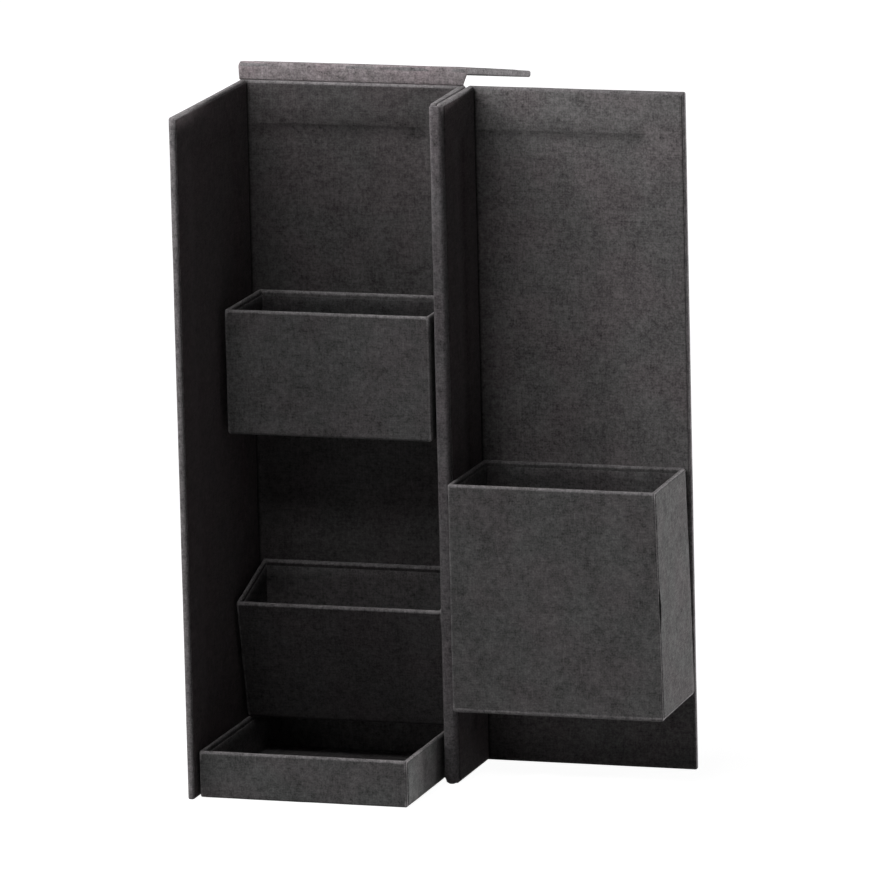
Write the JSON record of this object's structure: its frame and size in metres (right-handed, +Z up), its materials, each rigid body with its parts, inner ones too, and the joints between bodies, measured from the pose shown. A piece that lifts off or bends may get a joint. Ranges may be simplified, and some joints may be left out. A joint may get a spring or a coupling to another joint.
{
  "type": "fold-out storage box",
  "caption": "Tall cloth-covered board box that opens like a book on a side hinge, with a back-flipping lid, pockets on both inner faces and a low tray.",
  "frame": {"origin": "on the floor under the tray, midway between the left wall and the inner side wall and in line with the cover's hinge", "axes": "+Z up along the walls, +X towards the open cover, +Y towards the back wall"},
  "size_m": [0.2161, 0.2053, 0.3288],
  "materials": {
    "greyboard": "uncoated grey board, hidden under the cloth",
    "pocket_card": "thin uncoated grey card, hidden under the cloth",
    "book_cloth": "fine linen-weave book cloth, charcoal, matt, slightly mottled",
    "liner_cloth": "fine linen-weave book cloth, charcoal, matt",
    "hinge_cloth": "the same book cloth, doubled and rubbed lighter"
  },
  "bodies": {
    "standing_half": {"left_wall_board": "greyboard", "left_wall_cloth": "book_cloth", "left_wall_liner": "liner_cloth", "back_wall_board": "greyboard", "back_wall_cloth": "book_cloth", "back_wall_liner": "liner_cloth", "inner_side_board": "greyboard", "inner_side_cloth": "book_cloth", "inner_side_liner": "liner_cloth", "upper_pocket_front_card": "pocket_card", "upper_pocket_back_card": "pocket_card", "upper_pocket_left_card": "pocket_card", "upper_pocket_right_card": "pocket_card", "upper_pocket_bottom_card": "pocket_card", "upper_pocket_cloth": "book_cloth", "upper_pocket_liner": "liner_cloth", "lower_pocket_front_card": "pocket_card", "lower_pocket_back_card": "pocket_card", "lower_pocket_left_card": "pocket_card", "lower_pocket_right_card": "pocket_card", "lower_pocket_bottom_card": "pocket_card", "lower_pocket_cloth": "book_cloth", "lower_pocket_liner": "liner_cloth", "tray_front_card": "pocket_card", "tray_back_card": "pocket_card", "tray_left_card": "pocket_card", "tray_right_card": "pocket_card", "tray_bottom_card": "pocket_card", "tray_cloth": "book_cloth", "tray_liner": "liner_cloth", "tray_base_cloth": "book_cloth", "cover_hinge_cloth": "hinge_cloth", "lid_hinge_cloth": "hinge_cloth"},
    "cover": {"cover_side_board": "greyboard", "cover_side_cloth": "book_cloth", "cover_side_liner": "liner_cloth", "cover_front_board": "greyboard", "cover_front_cloth": "book_cloth", "cover_front_liner": "liner_cloth", "tall_pocket_front_card": "pocket_card", "tall_pocket_back_card": "pocket_card", "tall_pocket_left_card": "pocket_card", "tall_pocket_right_card": "pocket_card", "tall_pocket_bottom_card": "pocket_card", "tall_pocket_cloth": "book_cloth", "tall_pocket_liner": "liner_cloth"},
    "lid": {"lid_board": "greyboard", "lid_cloth": "book_cloth", "lid_liner": "liner_cloth"}
  },
  "joints": [
    {"name": "cover_hinge", "type": "hinge", "parent": "standing_half", "child": "cover", "pos_m": [0.05545, 0, 0.16], "axis": [0, 0, -1], "range_deg": [0, 180], "deforming": ["cover_hinge_cloth"]},
    {"name": "lid_hinge", "type": "hinge", "parent": "standing_half", "child": "lid", "pos_m": [0, 0.0504, 0.32455], "axis": [1, 0, 0], "range_deg": [-50, 190.4], "deforming": ["lid_hinge_cloth"]}
  ]
}
